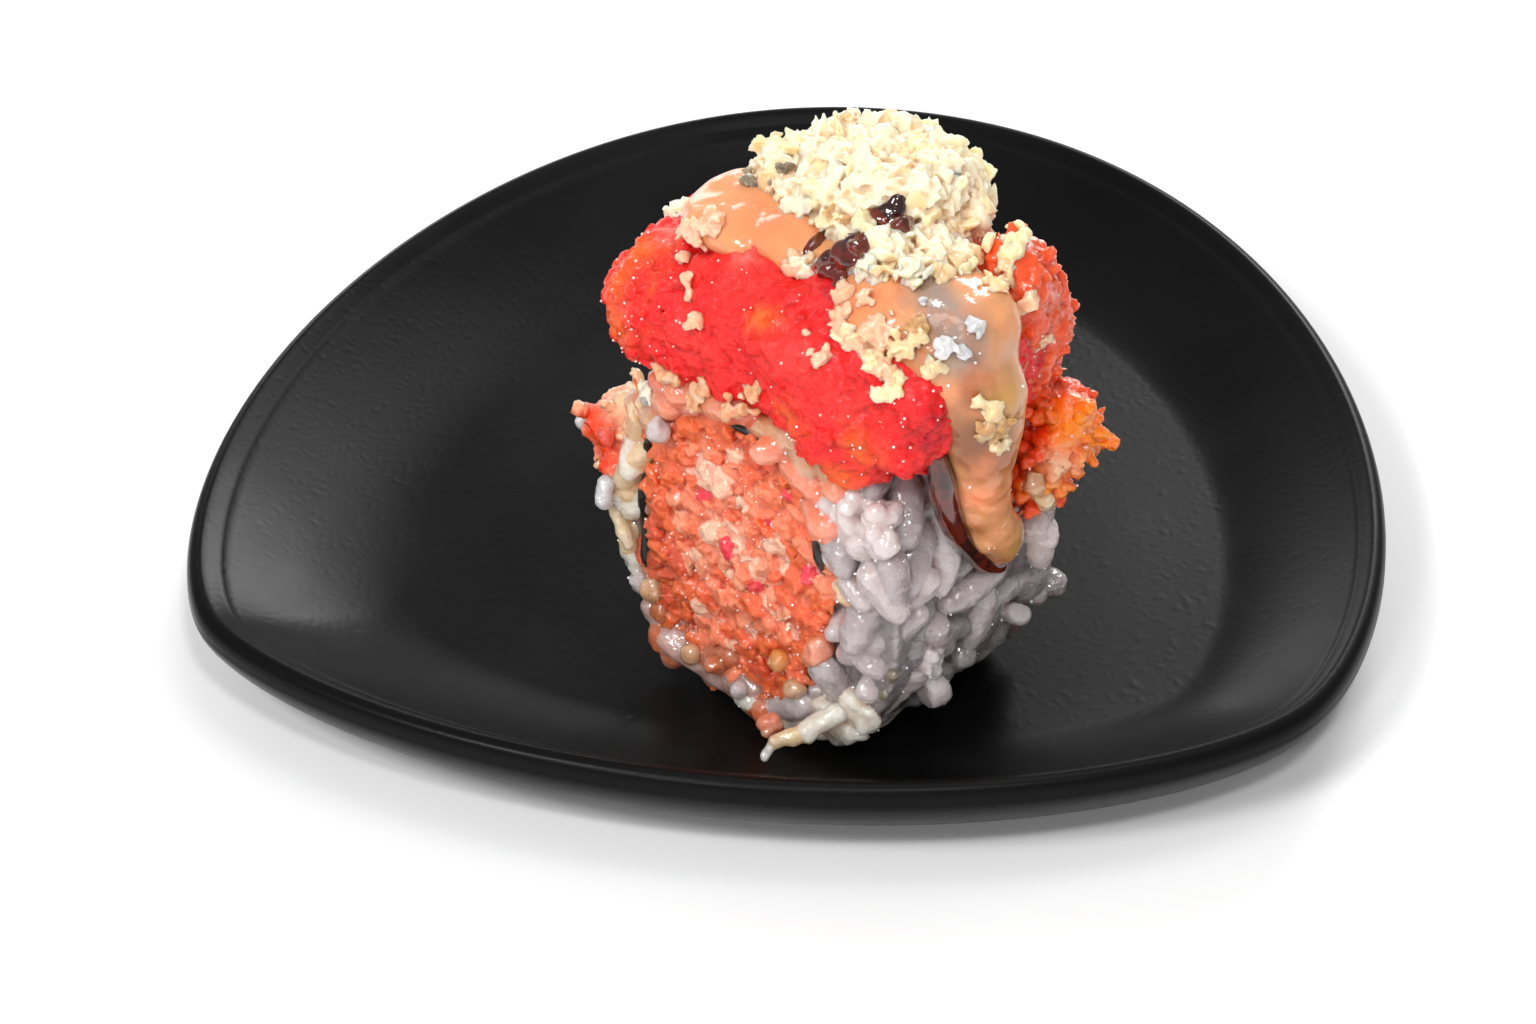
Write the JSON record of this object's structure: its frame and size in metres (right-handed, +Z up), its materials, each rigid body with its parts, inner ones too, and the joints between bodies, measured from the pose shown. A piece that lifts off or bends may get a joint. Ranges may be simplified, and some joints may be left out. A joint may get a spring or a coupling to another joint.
{
  "type": "uramaki roll slice on a small plate",
  "caption": "Round slice of inside-out sushi roll topped with minced tuna, sauce and crunchy crumbs, standing on a small dark pebble-shaped plate.",
  "frame": {"origin": "under the middle of the plate's outline, at the level of the surface it stands on", "axes": "+Z up; -Y is the side of the plate that the roll stands near; +X to the right seen from that side"},
  "size_m": [0.13, 0.128, 0.0709],
  "materials": {
    "plate": "matt black glaze with a fine wrinkled skin",
    "rice": "moist translucent grains",
    "nori": "dark damp seaweed sheet",
    "filling": "moist flaked filling",
    "tuna": "glossy minced fish",
    "mince": "glossy minced fish",
    "sauce": "smooth glossy sauce",
    "tempura": "dry crisp batter crumbs"
  },
  "bodies": {
    "root": {"plate": "plate", "rice": "rice", "nori": "nori", "filling": "filling", "tuna": "tuna", "mince_right": "mince", "mince_left": "mince", "sauce": "sauce", "tempura": "tempura"}
  },
  "joints": []
}
